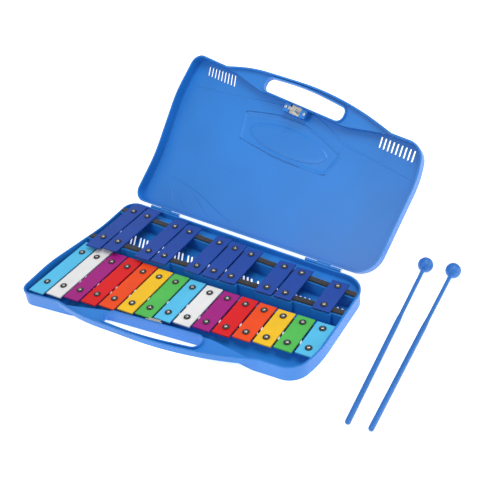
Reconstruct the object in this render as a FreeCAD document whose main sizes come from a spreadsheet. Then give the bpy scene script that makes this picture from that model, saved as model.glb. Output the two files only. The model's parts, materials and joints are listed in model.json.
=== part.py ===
# 25-note bar instrument in a hinged plastic case, with two mallets. All sizes in mm.
# X runs along the bar rows (low notes at -X), +Y goes from the handle to the hinge, Z is up.
# The origin is the middle of the flat underside of the tray.
import FreeCAD, Part, Sketcher
import math, os
from FreeCAD import Vector, Placement, Rotation

SIZES = [
    ("pitch", 25.0, "spacing of the bars along the row"),
    ("bar_width", 22.2, "width of one bar"),
    ("bar_thick", 2.0, "thickness of one bar"),
    ("long_natural", 110.4, "length of the lowest natural bar"),
    ("long_sharp", 110.2, "length the sharp bars are scaled from"),
    ("bar_hole", 5.0, "hole through a bar"),
    ("bar_gap", 3.4, "least gap between the end of a bar and the wall"),
    ("wall", 1.7, "plastic wall"),
    ("bead", 0.6, "how far the rim bead stands out"),
    ("bead_high", 2.2, "height of the rim bead"),
    ("floor_thick", 2.0, "floor of the tray and roof of the lid"),
    ("tray_high", 20.0, "underside to rim of the tray"),
    ("lid_deep", 16.0, "rim to outer face of the lid"),
    ("handle_deep", 8.5, "height of the grip below the rim"),
    ("shelf_drop", 4.5, "rim down to the web of the grip"),
    ("ring_drop", 1.0, "rim down to the lip of the finger slot"),
    ("edge_round", 2.0, "rounding of the outer bottom edge"),
    ("seam", 0.4, "gap between tray rim and lid rim"),
    ("natural_top", 15.5, "top face of the natural bars"),
    ("sharp_top", 23.6, "top face of the sharp bars"),
    ("felt_thick", 2.5, "felt strip thickness"),
    ("felt_wide", 8.0, "felt strip width"),
    ("rail_wide", 11.0, "rail under a felt strip"),
    ("block_lip", 0.8, "block in front of a sharp rail above the rail"),
    ("back_ledge", 12.5, "top of the ledge along the hinge side"),
    ("screw_shank", 2.6, "shank diameter of a bar screw"),
    ("screw_head", 4.4, "head diameter of a bar screw"),
    ("screw_dome", 1.3, "height of the domed head"),
    ("screw_bite", 3.4, "shank length held in a rail"),
    ("grommet_wide", 8.4, "outer diameter of a rubber grommet"),
    ("grommet_high", 1.6, "grommet collar above the bar"),
    ("grommet_neck", 4.7, "grommet neck inside the bar hole"),
    ("slit_wide", 2.4, "width of a vent slit"),
    ("slit_pitch", 6.0, "spacing of the floor slits"),
    ("slit_group", 27.6, "spacing of the groups of four floor slits"),
    ("slit_reach", 20.8, "length of a floor slit measured towards the hinge"),
    ("slit_lean", 11.8, "how far a floor slit leans to the left over its length"),
    ("emboss", 0.8, "height of the relief in the lid"),
    ("hinge_reach", 2.5, "hinge axis behind the back edge"),
    ("knuckle", 4.0, "outer diameter of a hinge knuckle"),
    ("pin_wide", 2.2, "hinge pin diameter"),
    ("pin_play", 0.05, "running clearance around the pin, radial"),
    ("hinge_span", 50.0, "length of one hinge"),
    ("lid_knuckle", 18.0, "length of the lid knuckle in the middle of a hinge"),
    ("knuckle_gap", 0.4, "side gap between knuckles"),
    ("open_angle", 134.5, "lid opening in the rest pose, degrees"),
    ("slide_thick", 1.5, "sheet of the latch slide"),
    ("slide_wide", 24.0, "width of the latch slide"),
    ("slide_travel", 3.0, "travel of the latch slide"),
    ("catch_thick", 1.2, "sheet of the catch plate"),
    ("fit", 0.4, "clearance between parts that move past each other"),
    ("ball", 18.8, "mallet head diameter"),
    ("stick_thick", 6.2, "grip diameter of a mallet"),
    ("stick_thin", 4.9, "neck diameter of a mallet"),
    ("mallet_long", 268.0, "head centre to tail end"),
    ("mallet_step", 103.0, "head centre to the thick part"),
]
V = {name: value for name, value, note in SIZES}

doc = FreeCAD.newDocument("glockenspiel")
sheet = doc.addObject("Spreadsheet::Sheet", "Dims")
for row, (name, value, note) in enumerate(SIZES, start=1):
    sheet.set("A%d" % row, name)
    sheet.set("B%d" % row, "%g" % value)
    sheet.set("C%d" % row, note)
    sheet.setAlias("B%d" % row, name)
doc.recompute()

PITCH = V["pitch"]
RIM = V["tray_high"]
LID_RIM = RIM + V["seam"]
SEAM_MID = RIM + V["seam"] / 2
SKIN = V["wall"] + V["bead"]          # outline to inner face of a wall
ROW_MID, DEPTH_MID = 7.03, 2.2        # plan position of the origin, in bar pitches


def at(i, j):
    """Plan position in mm of a point given in bar pitches."""
    return ((i - ROW_MID) * PITCH, (j - DEPTH_MID) * PITCH)


# ---- plan outlines: corners as (along the row, towards the hinge, radius), in bar pitches ----
LEFT = [(-0.521, 7.016, 0.66), (-0.398, 4.244, 7.6), (-0.856, 0.531, 6.5), (-0.675, -1.994, 0.64)]
RIGHT = [(14.262, -1.090, 1.04), (14.655, 0.500, 6.00), (14.576, 5.681, 1.28)]
GRIP = [(1.711, -1.784, 0), (3.315, -2.151, 9.56), (9.078, -2.191, 17.79), (12.444, -1.152, 0)]


def beyond(a, b, i):
    """Height at i of the straight line through two outline corners."""
    return a[1] + (b[1] - a[1]) * (i - a[0]) / (b[0] - a[0])


RECESS = [(2.22, beyond(LEFT[-1], GRIP[0], 2.22), 1.2), (4.269, -1.196, 3.0),
          (9.802, -0.823, 3.0), (12.11, beyond(GRIP[-1], RIGHT[0], 12.11), 1.2)]
SLOT = [(4.450, -1.184, 0.34), (4.450, -1.928, 0.36), (6.885, -1.984, 16), (9.601, -1.591, 0.34),
        (9.601, -0.837, 0.34)]
BADGE = [(3.666, 0.048, 0.2), (6.885, -0.535, 6), (10.255, 0.581, 0.2), (9.772, 1.939, 0.2),
         (6.885, 2.020, 6), (4.038, 1.638, 0.2)]
FULL_OUTLINE = LEFT + GRIP + RIGHT
BODY_OUTLINE = LEFT + RECESS + RIGHT


def scaled(outline):
    return [at(i, j) + (r * PITCH,) for i, j, r in outline]


def inset(corners, d):
    """Move every side of a counter-clockwise outline inwards by d (outwards if d < 0)."""
    n, out = len(corners), []
    for k in range(n):
        (ax, ay, _), (bx, by, r), (cx, cy, _) = corners[k - 1], corners[k], corners[(k + 1) % n]
        u = Vector(bx - ax, by - ay, 0).normalize()
        w = Vector(cx - bx, cy - by, 0).normalize()
        cross = u.x * w.y - u.y * w.x
        p = Vector(ax - u.y * d, ay + u.x * d, 0)
        q = Vector(bx - w.y * d, by + w.x * d, 0)
        s = ((q.x - p.x) * w.y - (q.y - p.y) * w.x) / cross
        out.append((p.x + u.x * s, p.y + u.y * s, r and max(r - d if cross > 0 else r + d, 0.3)))
    return out


def rounded(corners):
    """Lines and tangent arcs of an outline, as sketch geometry."""
    n, cut, geo = len(corners), [], []
    for k in range(n):
        a, b, c = [Vector(*corners[m % n][:2], 0) for m in (k - 1, k, k + 1)]
        u, w = (a - b).normalize(), (c - b).normalize()
        half = u.getAngle(w) / 2
        reach = corners[k][2] / math.tan(half)
        mid = b + (u + w).normalize() * (corners[k][2] / math.sin(half) - corners[k][2])
        cut.append((b + u * reach, mid, b + w * reach))
    for k in range(n):
        if corners[k][2]:
            geo.append(Part.ArcOfCircle(*cut[k]))
        end, start = cut[k][2], cut[(k + 1) % n][0]
        if end.distanceToPoint(start) > 1e-4:
            geo.append(Part.LineSegment(end, start))
    return geo


def sketch(label, geometry, z=0.0):
    sk = doc.addObject("Sketcher::SketchObject", label)
    sk.addGeometry(geometry, False)
    sk.Placement = Placement(Vector(0, 0, z), Rotation())
    return sk


def prism(label, corners, z0, z1):
    """A closed outline drawn as a sketch and extruded from z0 to z1."""
    sk = sketch(label + "_outline", rounded(corners), z0)
    ex = doc.addObject("Part::Extrusion", label)
    ex.Base, ex.DirMode, ex.Dir, ex.Solid = sk, "Custom", Vector(0, 0, 1), True
    ex.LengthFwd = z1 - z0
    return ex


def fuse(label, parts):
    obj = doc.addObject("Part::MultiFuse", label)
    obj.Shapes, obj.Refine = parts, True
    return obj


def cut(label, base, tool):
    obj = doc.addObject("Part::Cut", label)
    obj.Base, obj.Tool, obj.Refine = base, tool, True
    return obj


def common(label, base, tool):
    obj = doc.addObject("Part::Common", label)
    obj.Base, obj.Tool, obj.Refine = base, tool, True
    return obj


def fixed(label, shape):
    obj = doc.addObject("Part::Feature", label)
    obj.Shape = shape
    return obj


def drive(obj, **rules):
    for prop, rule in rules.items():
        obj.setExpression(prop.replace("__", "."), rule)
    return obj


PARTS = {}


def keep(name, obj):
    obj.Label = name
    PARTS[name] = obj
    return obj


# ---- rows of bars ----
NATURAL_STEPS = [0, 2, 4, 5, 7, 9, 10, 12, 14, 16, 17, 19, 21, 22, 24]
NATURAL_NOTES = "g5 a5 b5 c6 d6 e6 f6 g6 a6 b6 c7 d7 e7 f7 g7".split()
SHARP_STEPS = [1, 3, 6, 8, 11, 13, 15, 18, 20, 23]
SHARP_NOTES = "gs5 as5 cs6 ds6 fs6 gs6 as6 cs7 ds7 fs7".split()
SHARP_AT = [0.5, 1.5, 3.5, 4.5, 6.5, 7.5, 8.5, 10.5, 11.5, 13.5]
SHARP_GROUPS = [(0, 1), (2, 3), (4, 6), (7, 8), (9, 9)]
LINES = {                              # screw lines: position at the first natural bar, slope
    "natural_front": (-0.640, 0.0886), "natural_back": (2.050, -0.0055),
    "sharp_front": (3.306, -0.0112), "sharp_back": (6.025, -0.1045),
}
VENT_START = 0.12                      # middle of the first group of floor slits
NATURAL_MID = (0.700, 0.0395)
SHARP_MID = (4.665, -0.0579)
VENT_MID = (4.842, -0.0850)            # floor slits under the sharp bars


def on(line, i):
    return line[0] + line[1] * i


def natural_length(k):
    return V["long_natural"] * 2 ** (-NATURAL_STEPS[k] / 24.0)


def sharp_length(k):
    return V["long_sharp"] * 2 ** (-SHARP_STEPS[k] / 23.0)


def sharp_mid(k):
    """Middle of a sharp bar along the row depth, kept clear of the wall by the hinge."""
    i = SHARP_AT[k]
    corner = i + V["bar_width"] / 2 / PITCH
    wall_at = beyond(RIGHT[-1], LEFT[0], corner) - (SKIN + V["bar_gap"]) / PITCH
    return min(on(SHARP_MID, i), wall_at - sharp_length(k) / 2 / PITCH)


def strip(line, i0, i1, width):
    """Corners of a straight strip along a screw line."""
    (x0, y0), (x1, y1) = at(i0, on(line, i0)), at(i1, on(line, i1))
    h = width / 2 / math.cos(math.atan(line[1]))
    return [(x0, y0 - h, 0), (x1, y1 - h, 0), (x1, y1 + h, 0), (x0, y0 + h, 0)]


def slab(corners, z0, z1):
    pts = [Vector(x, y, z0) for x, y, *_ in corners]
    return Part.Face(Part.makePolygon(pts + pts[:1])).extrude(Vector(0, 0, z1 - z0))


def slit(end_a, end_b, z0, z1):
    """Cutting tool of one slit with round ends between two plan points, given in bar pitches."""
    r = V["slit_wide"] / 2
    a, b = Vector(*at(*end_a), z0), Vector(*at(*end_b), z0)
    along = (b - a).normalize()
    side = Vector(-along.y, along.x, 0) * r
    a, b = a + along * r, b - along * r
    ends = [Part.makeCylinder(r, z1 - z0, p) for p in (a, b)]
    return slab([a - side, b - side, b + side, a + side], z0, z1).fuse(ends)


def slit_row(count, front, back, z0, z1):
    """Evenly spaced slits; front and back give the (first, last) end points of the row."""
    tools = []
    for k in range(count):
        t = k / (count - 1)
        ends = [tuple(p + (q - p) * t for p, q in zip(*line)) for line in (front, back)]
        tools.append(slit(*ends, z0, z1))
    return tools


def floor_slits(mid, z0, z1):
    """Leaning slits in groups of four along the tray floor."""
    step, group = V["slit_pitch"] / PITCH, V["slit_group"] / PITCH
    reach, lean = V["slit_reach"] / PITCH, V["slit_lean"] / PITCH
    left, right = LEFT[1][0] + (SKIN + V["slit_wide"]) / PITCH, RIGHT[-1][0] - 2 * SKIN / PITCH
    tools = []
    for n in range(14):
        for k in (-1.5, -0.5, 0.5, 1.5):
            i = VENT_START + n * group + k * step
            if i - lean > left and i < right:
                j = mid(i)
                tools.append(slit((i, j - reach / 2), (i - lean, j + reach / 2), z0, z1))
    return tools


# ---- case shells: built with the rim at z = 0 and the outer face below, then placed ----
def shell_solid(tag, deep):
    """Outer block of a half case: rim bead, body, grip, rounded outer edge."""
    full, body = scaled(FULL_OUTLINE), scaled(BODY_OUTLINE)
    bead = V["bead"]
    rim = drive(prism(tag + "_rim", full, -V["bead_high"], 0), LengthFwd="Dims.bead_high")
    grip = drive(prism(tag + "_grip", inset(full, bead), -V["handle_deep"], -V["bead_high"]),
                 LengthFwd="Dims.handle_deep - Dims.bead_high")
    main = prism(tag + "_main", inset(body, bead), -deep, -V["bead_high"])
    doc.recompute()
    low = [n + 1 for n, e in enumerate(main.Shape.Edges)
           if abs(e.BoundBox.ZMax + deep) < 1e-6 and abs(e.BoundBox.ZMin + deep) < 1e-6]
    soft = doc.addObject("Part::Fillet", tag + "_soft")
    soft.Base = main
    soft.Edges = [(n, V["edge_round"], V["edge_round"]) for n in low]
    return fuse(tag + "_block", [rim, grip, soft])


def shell(tag, deep):
    """Half case with its cavity, webs beside the finger slot, lipped slot."""
    full, body, slot = scaled(FULL_OUTLINE), scaled(BODY_OUTLINE), scaled(SLOT)
    block = shell_solid(tag, deep)
    room = prism(tag + "_room", inset(body, SKIN), -deep + V["floor_thick"], 1.0)
    web = drive(prism(tag + "_web", inset(full, SKIN), -V["shelf_drop"], 1.0),
                LengthFwd="Dims.shelf_drop + 1")
    hollow = cut(tag + "_hollow", block, fuse(tag + "_space", [room, web]))
    lip = prism(tag + "_lip", inset(slot, -V["wall"]), -V["handle_deep"], -V["ring_drop"])
    hole = prism(tag + "_hole", slot, -deep - 1, 1.0)
    return cut(tag + "_open", fuse(tag + "_lipped", [hollow, lip]), hole)


def hinge_axis():
    """Middle point and direction of the hinge line."""
    (x0, y0), (x1, y1) = at(*LEFT[0][:2]), at(*RIGHT[-1][:2])
    along = Vector(x1 - x0, y1 - y0, 0).normalize()
    out = Vector(-along.y, along.x, 0)
    return Vector(x0, y0, SEAM_MID) + out * V["hinge_reach"], along, out


AXIS_AT, AXIS, BEHIND = hinge_axis()
HINGES = [1.96, 12.04]


def hinge_frame(i):
    """Frame of one hinge: x along the pin, y away from the case, z up, origin on the axis."""
    x, _ = at(i, 0)
    p = AXIS_AT + AXIS * ((x - AXIS_AT.x) / AXIS.x)
    return Placement(p, Rotation(Vector(0, 0, 1), math.degrees(math.atan2(AXIS.y, AXIS.x))))


def knuckles(spans, arm, lug, bore):
    """Knuckle barrels with arms to the case wall; arm is the (low, high) height of the arm."""
    r, reach = V["knuckle"] / 2, V["hinge_reach"] + SKIN - 0.6
    out = []
    for s0, s1 in spans:
        barrel = Part.makeCylinder(r, s1 - s0, Vector(s0, 0, 0), Vector(1, 0, 0))
        link = Part.makeBox(s1 - s0, reach, arm[1] - arm[0], Vector(s0, -reach, arm[0]))
        body = barrel.fuse(link)
        if lug:
            stop = V["hinge_reach"] - 0.35
            heel = Part.makeBox(s1 - s0, stop, 3.4, Vector(s0, -stop, -3.4))
            heel.rotate(Vector(), Vector(1, 0, 0), V["open_angle"])
            body = body.fuse(heel)
        hole = Part.makeCylinder(bore / 2, s1 - s0 + 2, Vector(s0 - 1, 0, 0), Vector(1, 0, 0))
        out.append(body.cut(hole))
    return out


def tray_knuckles():
    half = V["hinge_span"] / 2
    near = V["lid_knuckle"] / 2 + V["knuckle_gap"]
    r = V["knuckle"] / 2
    shapes = []
    for i in HINGES:
        for s in knuckles([(-half, -near), (near, half)], (-r, -0.7), False, V["pin_wide"]):
            s.Placement = hinge_frame(i)
            shapes.append(s)
    return shapes


def lid_knuckles():
    h, r = V["lid_knuckle"] / 2, V["knuckle"] / 2
    bore = V["pin_wide"] + 2 * V["pin_play"]
    shapes = []
    for i in HINGES:
        for s in knuckles([(-h, h)], (0.7, r), True, bore):
            s.Placement = hinge_frame(i)
            shapes.append(s)
    return shapes


# ---- latch frame: x along the slot wall, y into the case, z up from the seam ----
LATCH_AT = 6.83


def latch_frame():
    (x0, y0), (x1, y1) = at(*RECESS[1][:2]), at(*RECESS[2][:2])
    along = Vector(x1 - x0, y1 - y0, 0).normalize()
    inward = Vector(-along.y, along.x, 0)
    x, _ = at(LATCH_AT, 0)
    p = Vector(x0, y0, 0) + along * ((x - x0) / along.x) + inward * SKIN
    p.z = SEAM_MID
    return Placement(p, Rotation(Vector(0, 0, 1), math.degrees(math.atan2(along.y, along.x))))


def lbox(x0, x1, y0, y1, z0, z1):
    return Part.makeBox(x1 - x0, y1 - y0, z1 - z0, Vector(x0, y0, z0))


# ---- tray ----
def sharp_rail_top():
    return V["sharp_top"] - V["bar_thick"] - V["felt_thick"]


def natural_rail_top():
    return V["natural_top"] - V["bar_thick"] - V["felt_thick"]


def platforms():
    """Rails, the blocks under the groups of sharp bars and the ledge by the hinge."""
    low = V["floor_thick"] - 0.5
    shapes = []
    for name, line in LINES.items():
        top = sharp_rail_top() if name.startswith("sharp") else natural_rail_top()
        shapes.append(slab(strip(line, -0.9, 15.0, V["rail_wide"]), low, top))
    back = LINES["sharp_back"]
    rail_edge = V["rail_wide"] / 2 / PITCH - 0.02
    a, b = (-0.9, on(back, -0.9) + rail_edge), (15.0, on(back, 15.0) + rail_edge)
    ledge = [at(*a), at(*b), at(15.0, 7.5), at(-0.9, 7.5)]
    shapes.append(slab(ledge, low, V["back_ledge"]))
    for first, last in SHARP_GROUPS:
        i0 = SHARP_AT[first] - 0.47
        i1 = SHARP_AT[last] + 0.47
        ends = [on(NATURAL_MID, k) + natural_length(k) / 2 / PITCH + 0.06
                for k in range(15) if i0 - 0.6 < k < i1 + 0.6]
        fronts = [sharp_mid(k) - sharp_length(k) / 2 / PITCH
                  for k in range(first, last + 1)]
        j0 = max(ends + [max(fronts)])
        j1 = on(LINES["sharp_front"], i1) - (V["felt_wide"] / 2 + V["fit"]) / PITCH
        block = [at(i0, j0), at(i1, j0), at(i1, j1), at(i0, j1)]
        shapes.append(slab(block, low, sharp_rail_top() + V["block_lip"]))
    return shapes


def screw_points(row):
    """Plan points and bar top height of every screw of one row."""
    pts = []
    if row == "natural":
        for k in range(15):
            for line in ("natural_front", "natural_back"):
                pts.append(at(k, on(LINES[line], k)))
        return pts, V["natural_top"]
    for i in SHARP_AT:
        for line in ("sharp_front", "sharp_back"):
            pts.append(at(i, on(LINES[line], i)))
    return pts, V["sharp_top"]


def shank_drills(row, diameter, z0, z1):
    pts, _ = screw_points(row)
    return [Part.makeCylinder(diameter / 2, z1 - z0, Vector(x, y, z0)) for x, y in pts]


def natural_vent_mid(i):
    return (on(LINES["natural_front"], i) + on(LINES["natural_back"], i)) / 2


def sharp_vent_mid(i):
    """Slits under the sharp bars stay behind the rail of their front screws."""
    rail_edge = on(LINES["sharp_front"], i) + (V["rail_wide"] / 2 + 1) / PITCH
    return max(on(VENT_MID, i), rail_edge + V["slit_reach"] / 2 / PITCH)


def make_tray():
    hull = shell("tray", V["tray_high"])
    hull.Placement = Placement(Vector(0, 0, RIM), Rotation())
    inner = prism("tray_trim", inset(scaled(BODY_OUTLINE), SKIN - 0.5), 0.5, RIM)
    blocks = platforms()
    rails = common("tray_platforms", fixed("tray_rails", blocks[0].fuse(blocks[1:])), inner)
    solid = fuse("tray_solid", [hull, rails] + [fixed("tray_knuckle", s) for s in tray_knuckles()])
    drills = []
    for row, top in (("natural", natural_rail_top()), ("sharp", sharp_rail_top())):
        drills += shank_drills(row, V["screw_shank"], top - V["screw_bite"], top + 1.5)
    vents = []
    for mid in (natural_vent_mid, sharp_vent_mid):
        vents += floor_slits(mid, -1, V["floor_thick"] + 1)
    tools = fixed("tray_cuts", Part.makeCompound(drills + vents))
    return keep("tray_shell", cut("tray_shell", solid, tools))


# ---- lid: modelled closed, then swung open about the hinge ----
def swing():
    rot = Rotation(AXIS, -V["open_angle"])
    return Placement(AXIS_AT - rot.multVec(AXIS_AT), rot)


def make_lid():
    hull = shell("lid", V["lid_deep"])
    flip = doc.addObject("Part::Mirroring", "lid_flipped")
    flip.Source, flip.Normal, flip.Base = hull, Vector(0, 0, 1), Vector(0, 0, LID_RIM / 2)
    roof = LID_RIM + V["lid_deep"]
    badge, high = scaled(BADGE), V["emboss"]
    pad = drive(prism("lid_badge_pad", badge, roof - 0.5, roof + high),
                LengthFwd="Dims.emboss + 0.5")
    sunk = prism("lid_badge_sunk", inset(badge, 0.8), roof - V["floor_thick"] - 1,
                 roof - V["floor_thick"] + high)
    x, y = at(6.99, 0.96)
    oval = Part.Ellipse(Vector(x, y, 0), 2.42 * PITCH, 0.66 * PITCH)
    oval.rotate(Placement(Vector(x, y, 0), Rotation(Vector(0, 0, 1), 3.0), Vector(0, 0, 0)))
    leaf_face = Part.Face(Part.Wire(oval.toShape()))
    leaf = fixed("lid_leaf", leaf_face.extrude(Vector(0, 0, high + 1.0)))
    leaf.Placement = Placement(Vector(0, 0, roof - V["floor_thick"] - 0.0), Rotation())
    solid = fuse("lid_solid", [flip, pad] + [fixed("lid_knuckle", s) for s in lid_knuckles()])
    hollow = cut("lid_badged", solid, cut("lid_badge_ring", sunk, leaf))
    z0, z1 = roof - V["floor_thick"] - 1, roof + 1
    left = slit_row(9, ((0.205, -1.591), (2.066, -1.561)), ((0.356, -1.048), (2.298, -0.928)), z0, z1)
    right = slit_row(9, ((11.814, -0.948), (13.705, -0.817)), ((11.894, -0.374), (13.776, -0.233)), z0, z1)
    window = lbox(-8.6, 8.6, -SKIN - 2, 1.0, 5.5, 8.0)
    window.Placement = latch_frame()
    tools = fixed("lid_cuts", Part.makeCompound(left + right + [window]))
    lid = cut("lid_shell", hollow, tools)
    lid.Placement = swing()
    return keep("lid_shell", lid)


def make_pins():
    for side, i in (("left", HINGES[0]), ("right", HINGES[1])):
        pin = doc.addObject("Part::Cylinder", "hinge_pin_" + side)
        drive(pin, Radius="Dims.pin_wide / 2", Height="Dims.hinge_span")
        frame = hinge_frame(i)
        turn = Placement(Vector(-V["hinge_span"] / 2, 0, 0), Rotation(Vector(0, 1, 0), 90))
        pin.Placement = frame.multiply(turn)
        keep("hinge_pin_" + side, pin)


# ---- latch ----
def make_latch():
    roof = LID_RIM + V["lid_deep"] - V["floor_thick"] - SEAM_MID
    t, w, f = V["slide_thick"], V["slide_wide"] / 2, V["fit"]
    z0 = 6.0
    tip = V["catch_thick"] + f + V["slide_travel"]          # barb tip when released
    lip_end = V["catch_thick"] + 2.8
    leg = lip_end + f + V["slide_travel"]                    # near face of the leg, released
    plate = lbox(-w, w, 0.4 + V["slide_travel"], leg + t + 2.5, z0, z0 + t)
    tab = lbox(-8.0, 8.0, -SKIN - 0.5, 4.0, z0, z0 + t)
    low = -4.3                                              # just above the natural bars
    stem = lbox(-6.0, 6.0, leg, leg + t, low, z0 + t)
    barb = lbox(-6.0, 6.0, tip, leg + t, low, low + 1.4)
    slide = plate.fuse([tab, stem, barb]).removeSplitter()
    deep = leg + t + 2.5 + f
    cheeks = [lbox(s * (w + f) if s > 0 else -w - f - 5.6, w + f + 5.6 if s > 0 else -w - f,
                   0, deep, z0 - 2.0, roof) for s in (-1, 1)]
    lips = [lbox(9.0 if s > 0 else -w - f, w + f if s > 0 else -9.0, 0, deep, z0 - 2.0, z0 - f)
            for s in (-1, 1)]
    bridge = lbox(-w - f, w + f, 0, deep, z0 + t + f, roof)
    house = bridge.fuse(cheeks + lips).removeSplitter()
    sx, sy, sz = w + f + 2.8, deep / 2, z0 - 2.0
    drill = [Part.makeCylinder(1.0, 6.0, Vector(s * sx, sy, sz - 0.1)) for s in (-1, 1)]
    for d in drill:
        house = house.cut(d)
    screws = []
    for s in (-1, 1):
        neck = Part.makeCylinder(1.0, 5.0, Vector(s * sx, sy, sz))
        head = Part.makeCylinder(2.0, 1.2, Vector(s * sx, sy, sz - 1.2))
        head = head.makeFillet(0.6, [e for e in head.Edges if abs(e.BoundBox.ZMax - sz + 1.2) < 1e-6])
        screws.append(head.fuse(neck).removeSplitter())
    place = swing().multiply(latch_frame())
    for name, shape in (("latch_slide", slide), ("latch_housing", house),
                        ("latch_screws", Part.makeCompound(screws))):
        obj = fixed(name, shape)
        obj.Placement = place
        keep(name, obj)
    c = V["catch_thick"]
    catch = lbox(-11, 11, 0, c, -9.0, -1.0).fuse(lbox(-8, 8, 0, lip_end, -2.4, -1.2))
    rivets = []
    for x in (-8.5, 8.5):
        hole = Part.makeCylinder(1.0, 9, Vector(x, -1.5, -7.0), Vector(0, 1, 0))
        catch = catch.cut(hole)
        head = Part.makeCylinder(1.8, 0.6, Vector(x, c, -7.0), Vector(0, 1, 0))
        pin = Part.makeCylinder(1.0, c + 1.2, Vector(x, -1.2, -7.0), Vector(0, 1, 0))
        rivets.append(head.fuse(pin).removeSplitter())
    for name, shape in (("catch_plate", catch.removeSplitter()),
                        ("catch_rivets", Part.makeCompound(rivets))):
        obj = fixed(name, shape)
        obj.Placement = latch_frame()
        keep(name, obj)


# ---- bars ----
def make_bar(name, i, j, length_rule, top_rule, length, top, holes):
    """One bar as a body: constrained outline with its two holes, padded."""
    body = doc.addObject("PartDesign::Body", name)
    sk = body.newObject("Sketcher::SketchObject", name + "_sketch")
    half_w, half_l = V["bar_width"] / 2, length / 2
    pts = [Vector(-half_w, -half_l, 0), Vector(half_w, -half_l, 0),
           Vector(half_w, half_l, 0), Vector(-half_w, half_l, 0)]
    sk.addGeometry([Part.LineSegment(pts[k], pts[(k + 1) % 4]) for k in range(4)], False)
    rules = [Sketcher.Constraint("Coincident", k, 2, (k + 1) % 4, 1) for k in range(4)]
    rules += [Sketcher.Constraint("Horizontal", 0), Sketcher.Constraint("Horizontal", 2),
              Sketcher.Constraint("Vertical", 1), Sketcher.Constraint("Vertical", 3),
              Sketcher.Constraint("Symmetric", 0, 1, 2, 1, -1, 1)]
    sk.addConstraint(rules)
    w = sk.addConstraint(Sketcher.Constraint("DistanceX", 0, 1, 0, 2, 2 * half_w))
    n = sk.addConstraint(Sketcher.Constraint("DistanceY", 1, 1, 1, 2, 2 * half_l))
    sk.setExpression("Constraints[%d]" % w, "Dims.bar_width")
    sk.setExpression("Constraints[%d]" % n, length_rule)
    for y in holes:
        g = sk.addGeometry(Part.Circle(Vector(0, y, 0), Vector(0, 0, 1), V["bar_hole"] / 2), False)
        d = sk.addConstraint(Sketcher.Constraint("Diameter", g, V["bar_hole"]))
        sk.setExpression("Constraints[%d]" % d, "Dims.bar_hole")
        sk.addConstraint(Sketcher.Constraint("PointOnObject", g, 3, -2))
        sk.addConstraint(Sketcher.Constraint("DistanceY", -1, 1, g, 3, y))
    pad = body.newObject("PartDesign::Pad", name + "_pad")
    pad.Profile = sk
    drive(pad, Length="Dims.bar_thick")
    x, y = at(i, j)
    body.Placement = Placement(Vector(x, y, top - V["bar_thick"]), Rotation())
    body.setExpression("Placement.Base.z", top_rule)
    doc.recompute()
    rim = ["Edge%d" % (n + 1) for n, e in enumerate(pad.Shape.Edges)
           if e.Length > 10 and abs(e.BoundBox.ZMin - pad.Shape.BoundBox.ZMax) < 1e-4]
    soft = body.newObject("PartDesign::Fillet", name + "_soft")
    soft.Base, soft.Radius = (pad, rim), 0.35
    return keep(name, body)


def make_bars():
    for k, note in enumerate(NATURAL_NOTES):
        mid = on(NATURAL_MID, k)
        holes = [(on(LINES[s], k) - mid) * PITCH for s in ("natural_front", "natural_back")]
        make_bar("bar_" + note, k, mid, "Dims.long_natural * 2 ^ (-%d / 24)" % NATURAL_STEPS[k],
                 "Dims.natural_top - Dims.bar_thick", natural_length(k), V["natural_top"], holes)
    for k, note in enumerate(SHARP_NOTES):
        i = SHARP_AT[k]
        mid = sharp_mid(k)
        holes = [(on(LINES[s], i) - mid) * PITCH for s in ("sharp_front", "sharp_back")]
        make_bar("bar_" + note, i, mid, "Dims.long_sharp * 2 ^ (-%d / 23)" % SHARP_STEPS[k],
                 "Dims.sharp_top - Dims.bar_thick", sharp_length(k), V["sharp_top"], holes)


def make_felts():
    inner = Part.Face(Part.Wire([g.toShape() for g in rounded(inset(scaled(BODY_OUTLINE),
                                                                    SKIN + 1.0))]))
    for name, line in LINES.items():
        top = V["sharp_top"] if name.startswith("sharp") else V["natural_top"]
        z1 = top - V["bar_thick"]
        z0 = z1 - V["felt_thick"]
        run = slab(strip(line, -0.9, 15.0, V["felt_wide"]), z0, z1)
        trim = inner.copy()
        trim.translate(Vector(0, 0, z0 - 1))
        run = run.common(trim.extrude(Vector(0, 0, V["felt_thick"] + 2)))
        row = name.split("_")[0]
        for d in shank_drills(row, V["screw_shank"] + 0.4, z0 - 1, z1 + 1):
            if run.BoundBox.intersect(d.BoundBox):
                run = run.cut(d)
        keep("felt_" + name, fixed("felt_" + name, run))


def make_fasteners():
    for row in ("natural", "sharp"):
        pts, top = screw_points(row)
        s, h, d = V["screw_shank"] / 2, V["screw_head"] / 2, V["screw_dome"]
        bar_low = V["bar_thick"] - 0.2
        outer, neck = V["grommet_wide"] / 2, V["grommet_neck"] / 2
        high = V["grommet_high"]
        profile = [(s, -bar_low), (neck, -bar_low), (neck, 0), (outer, 0), (outer, high * 0.55),
                   (outer - 0.7, high), (h + 0.3, high), (h + 0.3, high - 0.5), (s, high - 0.5)]
        grommet = turned(profile)
        rail = V["bar_thick"] + V["felt_thick"]
        seat = high - 0.5
        dome = [(0, -rail - V["screw_bite"] + 0.2), (s, -rail - V["screw_bite"] + 0.2), (s, seat),
                (h, seat), (h, seat + 0.35 * d), (h * 0.82, seat + 0.75 * d),
                (h * 0.45, seat + 0.96 * d), (0, seat + d)]
        screw = turned(dome)
        for kind, shape in (("grommets", grommet), ("screws", screw)):
            copies = []
            for x, y in pts:
                c = shape.copy()
                c.translate(Vector(x, y, top))
                copies.append(c)
            keep("%s_%s" % (row, kind), fixed("%s_%s" % (row, kind), Part.makeCompound(copies)))


def turned(profile):
    """Solid turned about Z from an (r, z) outline."""
    pts = [Vector(r, 0, z) for r, z in profile]
    return Part.Face(Part.makePolygon(pts + pts[:1])).revolve(Vector(), Vector(0, 0, 1), 360)


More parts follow.
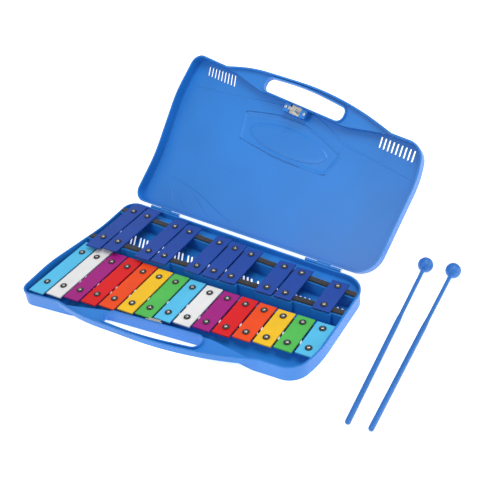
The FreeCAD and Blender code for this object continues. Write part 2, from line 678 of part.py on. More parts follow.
# ---- mallets: lying on the ground beside the tray, resting on the ball and on the tail ----
MALLETS = {"left": ((16.341, 8.525), (17.059, -2.081)), "right": ((17.687, 8.626), (18.020, -2.035))}


def make_mallets():
    ball, thick, thin = V["ball"] / 2, V["stick_thick"] / 2, V["stick_thin"] / 2
    length, step = V["mallet_long"], V["mallet_step"]
    sunk = ball * 0.45
    profile = [(0, sunk), (thin, sunk), (thin, step - 9), (thick * 0.95, step), (thick, step + 6),
               (thick, length - thick)]
    profile += [(thick * math.cos(a), length - thick + thick * math.sin(a))
                for a in [math.radians(15 * n) for n in range(1, 6)]]
    profile += [(0, length)]
    stick = turned(profile)
    head = Part.makeSphere(ball).cut(Part.makeCylinder(thin, ball * 2, Vector(0, 0, sunk)))
    for side, (head_at, tail_at) in MALLETS.items():
        a, b = Vector(*at(*head_at), ball), Vector(*at(*tail_at), thick)
        flat = Vector(b.x - a.x, b.y - a.y, 0).normalize()
        fall = math.asin((ball - thick) / (length - thick))
        aim = flat * math.cos(fall) + Vector(0, 0, -math.sin(fall))
        place = Placement(a, Rotation(Vector(0, 0, 1), aim))
        for kind, shape in (("stick", stick), ("head", head)):
            name = "mallet_%s_%s" % (side, kind)
            obj = fixed(name, shape.copy())
            obj.Placement = place
            keep(name, obj)


make_tray()
make_lid()
make_pins()
make_latch()
make_bars()
make_felts()
make_fasteners()
make_mallets()
doc.recompute()


def rivet_seats():
    """Seats for the catch rivets in the tray wall, cut after everything is placed."""
    tools = [Part.makeCylinder(1.0, 2.0, Vector(x, -1.2, -7.0), Vector(0, 1, 0)) for x in (-8.5, 8.5)]
    tool = fixed("tray_rivet_seats", Part.makeCompound(tools))
    tool.Placement = latch_frame()
    base = PARTS["tray_shell"]
    base.Label = "tray_shell_plain"
    return keep("tray_shell", cut("tray_shell_final", base, tool))


rivet_seats()
doc.recompute()
os.makedirs("parts", exist_ok=True)
bad = [o.Name for o in doc.Objects if "Invalid" in o.State or "Error" in o.State]
assert not bad, "objects with errors: %s" % bad
for name, obj in PARTS.items():
    shape = obj.Shape
    assert shape.isValid() and shape.Solids, "bad shape: " + name
    shape.exportStep("parts/%s.step" % name)
    print(name, len(shape.Solids), [round(v, 1) for v in (shape.BoundBox.XMin, shape.BoundBox.XMax,
          shape.BoundBox.YMin, shape.BoundBox.YMax, shape.BoundBox.ZMin, shape.BoundBox.ZMax)])
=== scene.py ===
# Finish of the 25-bar glockenspiel in its hinged case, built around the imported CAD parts.
# Everything is in metres, in the frame of the tray: X along the bars, Y towards the hinge, Z up.
import bpy, bmesh, json, math
from mathutils import Matrix, Vector, noise as ripple


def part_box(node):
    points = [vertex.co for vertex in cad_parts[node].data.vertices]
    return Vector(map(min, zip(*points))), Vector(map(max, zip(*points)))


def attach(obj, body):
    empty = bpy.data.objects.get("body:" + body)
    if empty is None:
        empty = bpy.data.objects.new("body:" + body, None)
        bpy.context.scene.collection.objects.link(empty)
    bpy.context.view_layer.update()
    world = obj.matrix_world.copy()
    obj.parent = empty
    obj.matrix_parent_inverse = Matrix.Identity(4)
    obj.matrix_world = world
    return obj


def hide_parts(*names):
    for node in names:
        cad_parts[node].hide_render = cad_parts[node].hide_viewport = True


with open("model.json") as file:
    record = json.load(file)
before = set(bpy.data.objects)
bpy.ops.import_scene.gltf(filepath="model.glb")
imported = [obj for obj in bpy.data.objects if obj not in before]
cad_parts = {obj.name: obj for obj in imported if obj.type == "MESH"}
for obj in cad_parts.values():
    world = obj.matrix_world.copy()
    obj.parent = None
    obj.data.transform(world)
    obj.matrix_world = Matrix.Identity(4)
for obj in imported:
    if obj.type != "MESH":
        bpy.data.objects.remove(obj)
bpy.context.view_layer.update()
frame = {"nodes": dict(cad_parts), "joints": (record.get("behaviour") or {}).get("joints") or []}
nodes = frame["nodes"]
hinge = next(j for j in frame["joints"] if j["name"] == "lid_hinge")
MM = 0.001


# ---------------------------------------------------------------- colours and node helpers
def shade(code):
    """A display colour such as "2f6fd0" as linear red, green and blue."""
    parts = [int(code[k:k + 2], 16) / 255 for k in (0, 2, 4)]
    return [c / 12.92 if c <= 0.04045 else ((c + 0.055) / 1.055) ** 2.4 for c in parts] + [1.0]


def effect(name, inputs, outputs):
    """An empty shader node group: (name, kind, default) inputs and (name, kind) outputs."""
    tree = bpy.data.node_groups.new(name, "ShaderNodeTree")
    for label, kind, start in inputs:
        s = tree.interface.new_socket(label, in_out="INPUT", socket_type="NodeSocket" + kind)
        if start is not None:
            s.default_value = start
    for label, kind in outputs:
        tree.interface.new_socket(label, in_out="OUTPUT", socket_type="NodeSocket" + kind)
    ends = tree.nodes.new("NodeGroupInput"), tree.nodes.new("NodeGroupOutput")
    return tree, ends[0].outputs, ends[1].inputs


def add(tree, kind, links=(), **values):
    """One node with its properties set and its inputs linked to sockets or set to values."""
    node = tree.nodes.new("ShaderNode" + kind)
    for key, value in values.items():
        setattr(node, key, value)
    for key, source in dict(links).items():
        if isinstance(source, bpy.types.NodeSocket):
            tree.links.new(source, node.inputs[key])
        else:
            node.inputs[key].default_value = source
    return node


def maths(tree, kind, a, b=None, clamp=False):
    links = {0: a} if b is None else {0: a, 1: b}
    return add(tree, "Math", links, operation=kind, use_clamp=clamp).outputs[0]


def spread(tree, value, low, high, to_low=0.0, to_high=1.0):
    """Map Range from low..high to to_low..to_high."""
    links = {"Value": value, "From Min": low, "From Max": high, "To Min": to_low, "To Max": to_high}
    return add(tree, "MapRange", links).outputs["Result"]


def noise(tree, place, scale, detail=2.0, rough=0.5):
    links = {"Vector": place, "Scale": scale, "Detail": detail, "Roughness": rough}
    return add(tree, "TexNoise", links).outputs[0]


def blend_colour(tree, factor, a, b):
    """Mix of two colours; a and b are sockets or colours."""
    node = add(tree, "Mix", data_type="RGBA")
    slots = [node.inputs[0], node.inputs[6], node.inputs[7]]
    for slot, source in zip(slots, (factor, a, b)):
        if isinstance(source, bpy.types.NodeSocket):
            tree.links.new(source, slot)
        else:
            slot.default_value = source
    return node.outputs[2]


# ---------------------------------------------------------------- shared effects
def make_moulded_grain():
    """Spark-eroded tool texture of moulded plastic, with slow flow shading from the mould."""
    tree, take, give = effect(
        "moulded grain",
        [("Place", "Vector", None), ("Grain per metre", "Float", 2200.0),
         ("Flow per metre", "Float", 9.0)],
        [("Height", "Float"), ("Flow", "Float"), ("Speck", "Float")])
    coarse = noise(tree, take["Place"], take["Grain per metre"], 3.0, 0.62)
    finer = maths(tree, "MULTIPLY", take["Grain per metre"], 2.7)
    fine = noise(tree, take["Place"], finer, 2.0, 0.5)
    flow = noise(tree, take["Place"], take["Flow per metre"], 2.0, 0.45)
    tree.links.new(maths(tree, "ADD", maths(tree, "MULTIPLY", coarse, 0.7),
                         maths(tree, "MULTIPLY", fine, 0.3)), give["Height"])
    tree.links.new(spread(tree, flow, 0.3, 0.7), give["Flow"])
    tree.links.new(spread(tree, fine, 0.35, 0.65), give["Speck"])
    return tree


def make_rubbed_edges():
    """1 along worn convex edges, broken up by noise, 0 elsewhere."""
    tree, take, give = effect(
        "rubbed edges",
        [("Place", "Vector", None), ("Width", "Float", 0.0006),
         ("Breaks per metre", "Float", 160.0)],
        [("Mask", "Float"), ("Rounded", "Vector")])
    soft = add(tree, "Bevel", {"Radius": take["Width"]}, samples=4)
    plain = add(tree, "NewGeometry")
    turn = add(tree, "VectorMath", {0: soft.outputs[0], 1: plain.outputs["Normal"]},
               operation="DOT_PRODUCT")
    edge = spread(tree, turn.outputs["Value"], 0.985, 0.80)
    patchy = noise(tree, take["Place"], take["Breaks per metre"], 4.0, 0.6)
    broken = spread(tree, patchy, 0.42, 0.68)
    tree.links.new(maths(tree, "MULTIPLY", edge, broken, True), give["Mask"])
    tree.links.new(soft.outputs[0], give["Rounded"])
    return tree


def make_fine_scuffs():
    """Hairline handling marks in two directions, mostly for roughness."""
    tree, take, give = effect(
        "fine scuffs",
        [("Place", "Vector", None), ("Marks per metre", "Float", 60.0)],
        [("Marks", "Float")])
    total = None
    for turn, squeeze in ((0.4, 22.0), (-1.1, 30.0)):
        lay = add(tree, "Mapping", {"Vector": take["Place"]})
        lay.inputs["Rotation"].default_value = (0.0, 0.0, turn)
        lay.inputs["Scale"].default_value = (1.0, squeeze, squeeze)
        line = noise(tree, lay.outputs[0], take["Marks per metre"], 2.0, 0.6)
        line = spread(tree, line, 0.63, 0.70)
        patch = spread(tree, noise(tree, take["Place"], 14.0, 2.0, 0.5), 0.45, 0.70)
        line = maths(tree, "MULTIPLY", line, patch)
        total = line if total is None else maths(tree, "MAXIMUM", total, line)
    tree.links.new(total, give["Marks"])
    return tree


def make_powder_coat():
    """Orange peel and fine sparkle of baked powder paint."""
    tree, take, give = effect(
        "powder coat",
        [("Place", "Vector", None), ("Peel per metre", "Float", 900.0)],
        [("Height", "Float"), ("Speck", "Float"), ("Cloud", "Float")])
    peel = noise(tree, take["Place"], take["Peel per metre"], 1.0, 0.4)
    finer = maths(tree, "MULTIPLY", take["Peel per metre"], 3.1)
    fine = noise(tree, take["Place"], finer, 2.0, 0.6)
    tree.links.new(maths(tree, "ADD", maths(tree, "MULTIPLY", peel, 0.6),
                         maths(tree, "MULTIPLY", fine, 0.4)), give["Height"])
    tree.links.new(spread(tree, fine, 0.30, 0.70), give["Speck"])
    cloud = noise(tree, take["Place"], 45.0, 2.0, 0.5)
    tree.links.new(spread(tree, cloud, 0.3, 0.7), give["Cloud"])
    return tree


def make_pressed_fibres():
    """Matted wool fibres of pressed felt."""
    tree, take, give = effect(
        "pressed fibres",
        [("Place", "Vector", None), ("Fibres per metre", "Float", 900.0)],
        [("Height", "Float"), ("Lint", "Float")])
    swirl = add(tree, "TexNoise", {"Vector": take["Place"], "Scale": 320.0, "Detail": 2.0})
    bent = add(tree, "VectorMath", {0: swirl.outputs["Color"], 1: (0.004, 0.004, 0.004)},
               operation="MULTIPLY")
    path = add(tree, "VectorMath", {0: take["Place"], 1: bent.outputs[0]}, operation="ADD")
    strands = None
    for turn in (0.3, 1.5, 2.5):
        lay = add(tree, "Mapping", {"Vector": path.outputs[0]})
        lay.inputs["Rotation"].default_value = (turn * 0.5, 0.2, turn)
        lay.inputs["Scale"].default_value = (0.25, 2.2, 2.2)
        one = noise(tree, lay.outputs[0], take["Fibres per metre"], 2.0, 0.5)
        strands = one if strands is None else maths(tree, "MAXIMUM", strands, one)
    tree.links.new(strands, give["Height"])
    tree.links.new(spread(tree, strands, 0.60, 0.80), give["Lint"])
    return tree


def make_rolled_lines():
    """Fine lines left by rolling and polishing metal."""
    tree, take, give = effect(
        "rolled lines",
        [("Place", "Vector", None), ("Lines per metre", "Float", 500.0)],
        [("Height", "Float"), ("Streak", "Float")])
    lay = add(tree, "Mapping", {"Vector": take["Place"]})
    lay.inputs["Scale"].default_value = (0.06, 3.0, 3.0)
    line = noise(tree, lay.outputs[0], take["Lines per metre"], 3.0, 0.6)
    tree.links.new(line, give["Height"])
    tree.links.new(spread(tree, line, 0.35, 0.65), give["Streak"])
    return tree


GRAIN, EDGES, SCUFFS = make_moulded_grain(), make_rubbed_edges(), make_fine_scuffs()
PEEL, FIBRES, LINES = make_powder_coat(), make_pressed_fibres(), make_rolled_lines()


def use(tree, group, **links):
    node = tree.nodes.new("ShaderNodeGroup")
    node.node_tree = group
    for key, source in links.items():
        slot = node.inputs[key.replace("_", " ")]
        if isinstance(source, bpy.types.NodeSocket):
            tree.links.new(source, slot)
        else:
            slot.default_value = source
    return node.outputs


def finish(name, **settings):
    """A new material: its tree, its Principled shader and its Object coordinates."""
    mat = bpy.data.materials.new(name)
    mat.use_nodes = True
    tree = mat.node_tree
    skin = next(n for n in tree.nodes if n.type == "BSDF_PRINCIPLED")
    for key, value in settings.items():
        skin.inputs[key.replace("_", " ")].default_value = value
    return mat, tree, skin, add(tree, "TexCoord").outputs["Object"]


def bump(tree, skin, height, strength, depth, rounded=None):
    node = add(tree, "Bump", {"Height": height, "Strength": strength, "Distance": depth})
    if rounded is not None:
        tree.links.new(rounded, node.inputs["Normal"])
    tree.links.new(node.outputs[0], skin.inputs["Normal"])


# ---------------------------------------------------------------- materials
def moulded_plastic(name, colour, rough):
    mat, tree, skin, place = finish(name, Coat_Weight=0.10, Coat_Roughness=0.28, IOR=1.5)
    grain = use(tree, GRAIN, Place=place)
    edges = use(tree, EDGES, Place=place)
    marks = use(tree, SCUFFS, Place=place)
    full = shade(colour)
    dark = [c * 0.82 for c in full[:3]] + [1.0]
    pale = [c + (1 - c) * 0.16 for c in full[:3]] + [1.0]
    base = blend_colour(tree, grain["Flow"], dark, full)
    base = blend_colour(tree, maths(tree, "MULTIPLY", grain["Speck"], 0.10), base, pale)
    base = blend_colour(tree, maths(tree, "MULTIPLY", edges["Mask"], 0.35), base, pale)
    tree.links.new(base, skin.inputs["Base Color"])
    sheen = maths(tree, "ADD", spread(tree, grain["Flow"], 0, 1, rough - 0.03, rough + 0.05),
                  maths(tree, "MULTIPLY", marks["Marks"], 0.10))
    tree.links.new(sheen, skin.inputs["Roughness"])
    bump(tree, skin, grain["Height"], 0.35, 0.00006, edges["Rounded"])
    return mat


def painted_bar(name, colour, rough=0.42, coat=0.08):
    mat, tree, skin, place = finish(name, Coat_Weight=coat, Coat_Roughness=0.20,
                                    Specular_IOR_Level=0.25)
    peel = use(tree, PEEL, Place=place)
    edges = use(tree, EDGES, Place=place, Width=0.0004)
    marks = use(tree, SCUFFS, Place=place)
    full = shade(colour)
    dark = [c * 0.90 for c in full[:3]] + [1.0]
    pale = [c + (1 - c) * 0.22 for c in full[:3]] + [1.0]
    base = blend_colour(tree, peel["Cloud"], dark, full)
    base = blend_colour(tree, maths(tree, "MULTIPLY", peel["Speck"], 0.06), base, pale)
    base = blend_colour(tree, maths(tree, "MULTIPLY", edges["Mask"], 0.45), base, pale)
    tree.links.new(base, skin.inputs["Base Color"])
    tree.links.new(maths(tree, "ADD", spread(tree, peel["Speck"], 0, 1, rough - 0.05, rough + 0.06),
                         maths(tree, "MULTIPLY", marks["Marks"], 0.12)), skin.inputs["Roughness"])
    bump(tree, skin, peel["Height"], 0.35, 0.00008, edges["Rounded"])
    return mat


def plated_metal(name, colour, rough, streak):
    mat, tree, skin, place = finish(name, Metallic=1.0)
    lines = use(tree, LINES, Place=place)
    edges = use(tree, EDGES, Place=place, Width=0.0003)
    full = shade(colour)
    dark = [c * 0.93 for c in full[:3]] + [1.0]
    base = blend_colour(tree, spread(tree, lines["Streak"], 0, 1, 0.55, 1.0), dark, full)
    worn = maths(tree, "MULTIPLY", edges["Mask"], 0.5)
    base = blend_colour(tree, worn, base, (0.9, 0.9, 0.9, 1.0))
    tree.links.new(base, skin.inputs["Base Color"])
    sheen = spread(tree, lines["Streak"], 0, 1, rough, rough + streak)
    tree.links.new(sheen, skin.inputs["Roughness"])
    bump(tree, skin, lines["Height"], 0.05, 0.00001, edges["Rounded"])
    return mat


def screw_metal():
    """Nickel plate with the cross recess of the driver, laid out by each head's own map; the recess
    is bumped in and also painted near black as painted shade.
    """
    mat, tree, skin, place = finish("nickel screw", Metallic=1.0)
    lines = use(tree, LINES, Place=place, Lines_per_metre=900.0)
    own = add(tree, "SeparateXYZ", {"Vector": add(tree, "TexCoord").outputs["UV"]}).outputs
    reach_u, reach_v = maths(tree, "ABSOLUTE", own[0]), maths(tree, "ABSOLUTE", own[1])
    shaded_recess_mask = None
    for thin, long in ((reach_u, reach_v), (reach_v, reach_u)):
        arm = maths(tree, "MULTIPLY", spread(tree, thin, 0.15, 0.07),
                    spread(tree, long, 0.58, 0.50))
        shaded_recess_mask = arm if shaded_recess_mask is None else maths(tree, "MAXIMUM", shaded_recess_mask, arm)
    base = blend_colour(tree, lines["Streak"], shade("a8a29a"), shade("d2cdc6"))
    # painted shade: the cross recess is coloured near black to stand in for the shade inside it
    base = blend_colour(tree, maths(tree, "MULTIPLY", shaded_recess_mask, 0.85), base, (0.03, 0.03, 0.03, 1.0))
    tree.links.new(base, skin.inputs["Base Color"])
    tree.links.new(spread(tree, lines["Streak"], 0, 1, 0.20, 0.32), skin.inputs["Roughness"])
    bump(tree, skin, maths(tree, "SUBTRACT", 1.0, shaded_recess_mask), 0.8, 0.0004)
    return mat


def ring_rubber():
    mat, tree, skin, place = finish("black ring rubber", Coat_Weight=0.3, Coat_Roughness=0.3,
                                    IOR=1.52)
    grain = use(tree, GRAIN, Place=place, Grain_per_metre=3500.0, Flow_per_metre=60.0)
    edges = use(tree, EDGES, Place=place, Width=0.0003)
    base = blend_colour(tree, grain["Flow"], (0.006, 0.006, 0.007, 1), (0.014, 0.014, 0.015, 1))
    worn = maths(tree, "MULTIPLY", edges["Mask"], 0.6)
    base = blend_colour(tree, worn, base, (0.05, 0.05, 0.05, 1))
    tree.links.new(base, skin.inputs["Base Color"])
    tree.links.new(spread(tree, grain["Flow"], 0, 1, 0.38, 0.52), skin.inputs["Roughness"])
    bump(tree, skin, grain["Height"], 0.3, 0.00004)
    return mat


def black_felt():
    mat, tree, skin, place = finish("black pressed felt", Sheen_Weight=0.35, Sheen_Roughness=0.5)
    wool = use(tree, FIBRES, Place=place)
    base = blend_colour(tree, wool["Lint"], (0.006, 0.006, 0.007, 1), (0.035, 0.034, 0.036, 1))
    tree.links.new(base, skin.inputs["Base Color"])
    tree.links.new(spread(tree, wool["Lint"], 0, 1, 0.98, 0.85), skin.inputs["Roughness"])
    bump(tree, skin, wool["Height"], 0.9, 0.0003)
    return mat


CASE = moulded_plastic("blue case plastic", "0e78d0", rough=0.40)
MALLET = moulded_plastic("blue mallet plastic", "0868ba", rough=0.42)
METAL = plated_metal("bright latch metal", "dedcd6", rough=0.24, streak=0.06)
SCREW = screw_metal()
RUBBER = ring_rubber()
FELT = black_felt()
BAR_COLOURS = {"sky": "50b9e2", "white": "dedede", "purple": "9a0a78", "red": "d2060e",
               "orange": "e64602", "yellow": "ecbb18", "green": "4cb44e"}
BARS = {name: painted_bar(name + " bar paint", code) for name, code in BAR_COLOURS.items()}
BARS["navy"] = painted_bar("navy bar gloss paint", "0e409a", rough=0.40, coat=0.2)
SLOTS = {"case": CASE, "mallet": MALLET, "bright_metal": METAL, "screw": SCREW, "grommet": RUBBER,
         "felt": FELT}
SLOTS.update({"bar_" + name: mat for name, mat in BARS.items()})

for node in nodes.values():
    for slot in node.material_slots:
        slot.material = SLOTS[slot.material.name.split(".")[0]]


# ---------------------------------------------------------------- mesh helpers
def piece(name, bm, material, body, stands_for=(), crease=35.0):
    """A finished mesh piece from bm, riding on a body."""
    mesh = bpy.data.meshes.new(name)
    bm.to_mesh(mesh)
    bm.free()
    mesh.shade_smooth()
    mesh.set_sharp_from_angle(angle=math.radians(crease))
    mesh.materials.append(material)
    obj = bpy.data.objects.new(name, mesh)
    bpy.context.scene.collection.objects.link(obj)
    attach(obj, body)
    if stands_for:
        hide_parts(*stands_for)
    return obj


def merged(node):
    """A copy of the node's surface with its loose corners joined."""
    bm = bmesh.new()
    bm.from_mesh(nodes[node].data)
    bmesh.ops.remove_doubles(bm, verts=bm.verts, dist=2e-6)
    return bm


# ---------------------------------------------------------------- camera, floor and lights
def make_camera():
    cam = bpy.data.objects.new("camera", bpy.data.cameras.new("camera"))
    bpy.context.scene.collection.objects.link(cam)
    right, up = Vector((0.86003, 0.50341, -0.08327)), Vector((-0.23713, 0.53884, 0.80837))
    back = right.cross(up).normalized()
    up = back.cross(right).normalized()
    turn = Matrix((right.normalized(), up, back)).transposed().to_4x4()
    cam.matrix_world = Matrix.Translation((0.4839, -0.5966, 0.6084)) @ turn
    cam.data.lens, cam.data.sensor_width = 57.49, 36.0
    cam.data.clip_start, cam.data.clip_end = 0.01, 50.0
    bpy.context.scene.camera = cam


def make_floor():
    mat, tree, skin, place = finish("white sweep", Roughness=0.6)
    cloud = noise(tree, place, 1.5, 2.0, 0.5)
    tree.links.new(blend_colour(tree, cloud, (0.90, 0.90, 0.90, 1), (0.94, 0.94, 0.94, 1)),
                   skin.inputs["Base Color"])
    skin.inputs["Emission Color"].default_value = (1, 1, 1, 1)
    skin.inputs["Emission Strength"].default_value = 0.72
    bm = bmesh.new()
    bmesh.ops.create_grid(bm, x_segments=1, y_segments=1, size=6.0)
    bmesh.ops.translate(bm, verts=bm.verts, vec=(0, 0, -0.0003))
    mesh = bpy.data.meshes.new("floor")
    bm.to_mesh(mesh)
    bm.free()
    mesh.materials.append(mat)
    floor = bpy.data.objects.new("floor", mesh)
    bpy.context.scene.collection.objects.link(floor)


def make_light(name, place, aim, size, power, colour=(1, 1, 1)):
    data = bpy.data.lights.new(name, "AREA")
    data.shape, data.size, data.size_y = "RECTANGLE", size[0], size[1]
    data.energy, data.color = power, colour
    lamp = bpy.data.objects.new(name, data)
    bpy.context.scene.collection.objects.link(lamp)
    lamp.location = place
    lamp.rotation_mode = "QUATERNION"
    lamp.rotation_quaternion = (Vector(aim) - Vector(place)).to_track_quat("-Z", "Y")


def make_lighting():
    world = bpy.data.worlds.new("studio")
    world.use_nodes = True
    back = world.node_tree.nodes["Background"]
    back.inputs["Color"].default_value = (1.0, 1.0, 1.0, 1.0)
    back.inputs["Strength"].default_value = 0.52
    bpy.context.scene.world = world
    bpy.context.scene.view_settings.view_transform = "Standard"
    make_light("top softbox", (0.5, 0.1, 1.8), (0, 0, 0), (1.1, 1.1), 17.0)
    make_light("right strip", (1.5, 0.4, 0.5), (0.1, 0, 0), (1.2, 0.7), 7.0)
    make_light("front softbox", (-0.45, -0.95, 0.95), (0.1, 0.05, 0.05), (0.7, 0.7), 5.5)


# ---------------------------------------------------------------- screws and rubber rings
def islands(node):
    """Boxes (low, high) of the separate closed parts of one CAD node."""
    bm = merged(node)
    todo, boxes = set(bm.verts), []
    while todo:
        front, own = [todo.pop()], []
        while front:
            v = front.pop()
            own.append(v.co)
            for e in v.link_edges:
                w = e.other_vert(v)
                if w in todo:
                    todo.remove(w)
                    front.append(w)
        boxes.append([[pick(c[k] for c in own) for k in range(3)] for pick in (min, max)])
    bm.free()
    return boxes


def turned(bm, outline, place, steps, map_radius=None):
    """Spin an (radius, height) outline about the vertical through place; returns the new faces."""
    made = [bm.verts.new((place[0] + r, place[1], place[2] + z)) for r, z in outline]
    edges = [bm.edges.new(pair) for pair in zip(made, made[1:])]
    before = set(bm.faces)
    bmesh.ops.spin(bm, geom=made + edges, cent=place, axis=(0, 0, 1), angle=math.tau, steps=steps,
                   use_merge=True, use_duplicate=False)
    faces = [f for f in bm.faces if f not in before]
    if map_radius:
        layer = bm.loops.layers.uv.verify()
        for f in faces:
            for loop in f.loops:
                off = loop.vert.co - Vector(place)
                loop[layer].uv = (off.x / map_radius, off.y / map_radius)
    return faces


TURNS = 28                                # steps round a screw or a ring
SCREW_DOME = 2.4 * MM                     # top of a screw head above its bar
RING_RADIUS = 4.2 * MM


def make_fasteners(row):
    """Domed screws and thick rubber rings, one at each screw of a row of bars."""
    screws, rings = bmesh.new(), bmesh.new()
    for low, high in islands(row + "_screws"):
        mid = ((low[0] + high[0]) / 2, (low[1] + high[1]) / 2)
        radius, top = (high[0] - low[0]) / 2, high[2]
        bar_top = top - SCREW_DOME
        head = [(0.55 * radius, 0.7 * MM), (radius, 1.1 * MM), (radius, 1.45 * MM),
                (0.93 * radius, 1.8 * MM), (0.78 * radius, 2.1 * MM), (0.55 * radius, 2.28 * MM),
                (0.28 * radius, 2.37 * MM), (0.0, SCREW_DOME)]
        turned(screws, head, (mid[0], mid[1], bar_top), TURNS, radius)
        outer, inner = RING_RADIUS, radius + 0.15 * MM
        ring = [(inner, 0.6 * MM), (inner, 1.25 * MM), (inner + 0.25 * MM, 1.5 * MM),
                (inner + 0.6 * MM, 1.62 * MM), (outer - 0.7 * MM, 1.55 * MM),
                (outer - 0.25 * MM, 1.3 * MM),
                (outer, 0.85 * MM), (outer, 0.35 * MM), (outer - 0.15 * MM, 0.02 * MM),
                (inner, 0.02 * MM), (inner, 0.6 * MM)]
        turned(rings, ring, (mid[0], mid[1], bar_top), TURNS)
    for bm in (screws, rings):
        bmesh.ops.remove_doubles(bm, verts=bm.verts, dist=1e-6)
        bmesh.ops.recalc_face_normals(bm, faces=bm.faces)
    piece(row + "_domed_screws", screws, SCREW, "tray", [row + "_screws"], 50.0)
    piece(row + "_rubber_rings", rings, RUBBER, "tray", [row + "_grommets"], 60.0)


# ---------------------------------------------------------------- felt strips
WOOL_VOXEL = 0.55 * MM                    # mesh size of a felt strip
TUFT, SWELL = 0.22 * MM, 0.14 * MM        # how deep the small and the broad unevenness go


def make_felt(node):
    """The strip as matted wool: evenly meshed, its edges drawn in and its faces uneven."""
    bm = merged(node)
    mesh = bpy.data.meshes.new(node + "_wool")
    bm.to_mesh(mesh)
    bm.free()
    draft = bpy.data.objects.new(node + "_wool", mesh)
    bpy.context.scene.collection.objects.link(draft)
    remesh = draft.modifiers.new("even", "REMESH")
    remesh.mode, remesh.voxel_size = "VOXEL", WOOL_VOXEL
    graph = bpy.context.evaluated_depsgraph_get()
    even = bpy.data.meshes.new_from_object(draft.evaluated_get(graph))
    bpy.data.objects.remove(draft)
    bm = bmesh.new()
    bm.from_mesh(even)
    bpy.data.meshes.remove(even)
    for _ in range(2):
        bmesh.ops.smooth_vert(bm, verts=bm.verts, factor=0.5,
                              use_axis_x=True, use_axis_y=True, use_axis_z=True)
    bm.normal_update()
    for v in bm.verts:
        tuft = ripple.noise(v.co * 900.0) * 0.5 + 0.5
        swell = ripple.noise(v.co * 130.0) * 0.5 + 0.5
        v.co -= v.normal * (TUFT * tuft + SWELL * swell)
    piece(node + "_strip", bm, FELT, "tray", [node], 180.0)


# ---------------------------------------------------------------- relief of the lid
PITCH, ROW_MID, DEPTH_MID = 25.0 * MM, 7.03, 2.2
RIM_GAP = 20.4 * MM                       # height of the lid's rim when the lid is shut
ROOF_INSIDE = RIM_GAP + 14.0 * MM         # inner face of the roof when the lid is shut
LID_SWING = math.radians(134.5)           # from shut to the open rest pose
HINGE_AT, HINGE_ALONG = Vector(hinge["pos_m"]), Vector(hinge["axis"])
OPEN = (Matrix.Translation(HINGE_AT) @ Matrix.Rotation(-LID_SWING, 4, HINGE_ALONG)
        @ Matrix.Translation(-HINGE_AT))


def plan(i, j):
    """Place in the shut lid of a point given in bar spacings along and across the rows."""
    return Vector(((i - ROW_MID) * PITCH, (j - DEPTH_MID) * PITCH, ROOF_INSIDE))


def guided(points, closed=False, thick=0.0):
    """Mesh of a smooth curve guided by plan points; with a thickness, a tube with thin ends."""
    data = bpy.data.curves.new("guide", "CURVE")
    data.dimensions, data.resolution_u = "3D", 8
    data.bevel_depth, data.bevel_resolution = thick / 2, 3
    line = data.splines.new("NURBS")
    line.points.add(len(points) - 1)
    for k, (i, j) in enumerate(points):
        line.points[k].co = (*plan(i, j), 1.0)
        line.points[k].radius = 0.25 if k in (0, len(points) - 1) else 1.0
    line.use_cyclic_u = closed
    line.order_u = 3
    line.use_endpoint_u = not closed
    holder = bpy.data.objects.new("guide", data)
    mesh = bpy.data.meshes.new_from_object(holder)
    bpy.data.objects.remove(holder)
    bpy.data.curves.remove(data)
    return mesh


def smooth_curve(points, closed=False):
    """Evenly sampled points of a smooth curve guided by plan points."""
    mesh = guided(points, closed)
    path = [v.co.copy() for v in mesh.vertices]
    bpy.data.meshes.remove(mesh)
    return path


def bead(name, points, width, height):
    """A low rounded ridge on the roof's inner face: a tube on a smooth curve, pressed flat."""
    mesh = guided(points, thick=width)
    bm = bmesh.new()
    bm.from_mesh(mesh)
    bpy.data.meshes.remove(mesh)
    level = Matrix.Translation((0, 0, -ROOF_INSIDE))
    flat = (1, 1, height / (width / 2))
    bmesh.ops.scale(bm, vec=flat, space=level, verts=bm.verts)
    bmesh.ops.recalc_face_normals(bm, faces=bm.faces)
    bmesh.ops.transform(bm, matrix=OPEN, verts=bm.verts)
    piece(name, bm, CASE, "lid", (), 60.0)


# outlines on the roof, in bar spacings along and across the rows, with the lid shut
BADGE = [(3.70, 0.18), (3.98, 1.49), (4.16, 1.61), (6.41, 1.88), (9.08, 1.96), (9.69, 1.88),
         (9.85, 1.71), (10.19, 0.69), (10.09, 0.55), (8.73, 0.03), (7.29, -0.24), (5.95, -0.24),
         (4.66, -0.08)]
LEAF = [(4.53, 0.99), (4.62, 0.63), (6.23, 0.27), (7.62, 0.40), (8.72, 0.62), (9.38, 0.91),
        (9.39, 1.19), (8.84, 1.49), (7.62, 1.65), (6.24, 1.56), (5.05, 1.30)]


def inside_by(path, p):
    """Distance of p inside a closed plan path; negative outside."""
    best, inside = 1e9, False
    for a, b in zip(path, path[1:] + path[:1]):
        run, off = (b - a).xy, (p - a).xy
        t = max(0.0, min(1.0, off.dot(run) / run.dot(run)))
        best = min(best, (off - run * t).length)
        spans = (a.y > p.y) != (b.y > p.y)
        if spans and p.x < a.x + (p.y - a.y) / (b.y - a.y) * (b.x - a.x):
            inside = not inside
    return best if inside else -best


def step(x, low, high):
    t = max(0.0, min(1.0, (x - low) / (high - low)))
    return t * t * (3 - 2 * t)


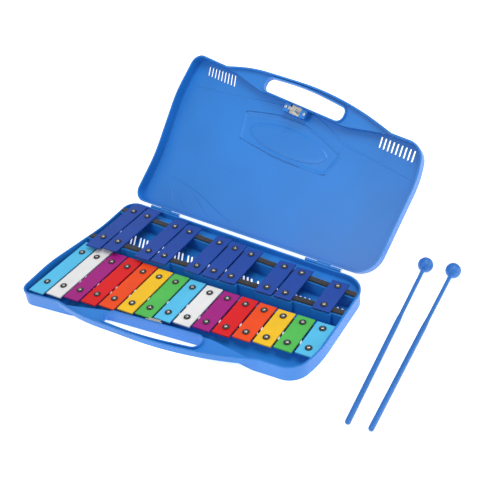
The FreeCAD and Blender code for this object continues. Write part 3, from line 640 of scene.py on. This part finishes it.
def make_badge():
    """Plain sunken panel with a soft slope and a leaf-shaped island, on the roof's inner face."""
    rim = [plan(i, j) for i, j in BADGE]
    leaf = smooth_curve(LEAF, closed=True)
    low, high = plan(3.61, -0.34), plan(10.29, 2.06)
    bm = bmesh.new()
    bmesh.ops.create_grid(bm, x_segments=190, y_segments=68, size=0.5)
    bmesh.ops.scale(bm, vec=(high.x - low.x, high.y - low.y, 1.0), verts=bm.verts)
    bmesh.ops.translate(bm, vec=((low + high) / 2), verts=bm.verts)
    outside = []
    for v in bm.verts:
        depth, island = inside_by(rim, v.co), inside_by(leaf, v.co)
        crest = step(depth, -0.2 * MM, 0.9 * MM)
        valley = step(depth, 0.9 * MM, 4.6 * MM)
        sunk = valley * (1.0 - step(island, -3.4 * MM, -0.4 * MM))
        groove = math.exp(-((island - 0.5 * MM) / (0.55 * MM)) ** 2)
        v.co.z += (-0.05 - 0.62 * crest + 1.38 * sunk + 0.50 * groove) * MM
        if depth < -0.5 * MM:
            outside.append(v)
    bmesh.ops.delete(bm, geom=outside, context="VERTS")
    bmesh.ops.recalc_face_normals(bm, faces=bm.faces)
    if bm.faces[:][0].normal.z > 0:
        bmesh.ops.reverse_faces(bm, faces=bm.faces)
    bmesh.ops.transform(bm, matrix=OPEN, verts=bm.verts)
    piece("lid_badge", bm, CASE, "lid", (), 60.0)


CREASE = [(-0.13, -0.30), (3.10, -0.53), (6.05, -0.84), (7.96, -0.86), (9.32, -0.26),
          (10.18, 0.09), (11.31, 0.19), (12.65, 0.37), (14.14, 0.59)]
FANS = [[(0.76, 5.25), (1.34, 5.77), (1.61, 6.13), (1.82, 6.56)],
        [(1.72, 5.63), (2.55, 6.22), (2.90, 6.46)],
        [(2.69, 5.37), (3.93, 5.96), (4.23, 6.16)],
        [(0.92, 5.01), (2.06, 5.05), (3.27, 5.24), (4.58, 5.68), (5.78, 6.00)]]
LEFT_FOOT = [(-0.28, 6.30), (-0.23, 5.20), (-0.23, 4.20), (-0.37, 2.80), (-0.53, 1.40),
             (-0.60, 0.40), (-0.55, -0.90), (-0.49, -1.60)]


def make_relief():
    make_badge()
    bead("lid_crease", CREASE, 2.2 * MM, 0.45 * MM)
    bead("lid_left_foot", LEFT_FOOT, 1.6 * MM, 0.6 * MM)
    for k, points in enumerate(FANS, start=1):
        bead("lid_fan_line_%d" % k, points, 2.0 * MM, 0.45 * MM)


# ---------------------------------------------------------------- mallets
def make_parting_line(side):
    """The fine raised line where the two halves of the mould met, round a mallet head."""
    low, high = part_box("mallet_%s_head" % side)
    mid = (Vector(low) + Vector(high)) / 2
    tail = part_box("mallet_%s_stick" % side)
    run = (Vector(tail[0]) + Vector(tail[1])) / 2 - mid
    run = Vector((run.x, run.y, 0)).normalized()
    thick, sides = 0.16 * MM, 6
    reach = (high[2] - low[2]) / 2 - 0.04 * MM
    bm = bmesh.new()
    for a in [math.tau * n / sides for n in range(sides)]:
        bm.verts.new(mid + run * (reach + thick * math.cos(a)) +
                     Vector((0, 0, thick * math.sin(a))))
    ring = list(bm.verts)
    edges = [bm.edges.new((ring[n - 1], ring[n])) for n in range(sides)]
    bmesh.ops.spin(bm, geom=ring + edges, cent=mid, axis=(0, 0, 1), angle=math.tau, steps=72,
                   use_merge=True, use_duplicate=False)
    bmesh.ops.recalc_face_normals(bm, faces=bm.faces)
    piece("mallet_%s_parting_line" % side, bm, MALLET, "mallet_" + side, (), 60.0)


for row in ("natural", "sharp"):
    make_fasteners(row)
    for line in ("front", "back"):
        make_felt("felt_%s_%s" % (row, line))
make_relief()
for side in ("left", "right"):
    make_parting_line(side)
make_camera()
make_floor()
make_lighting()
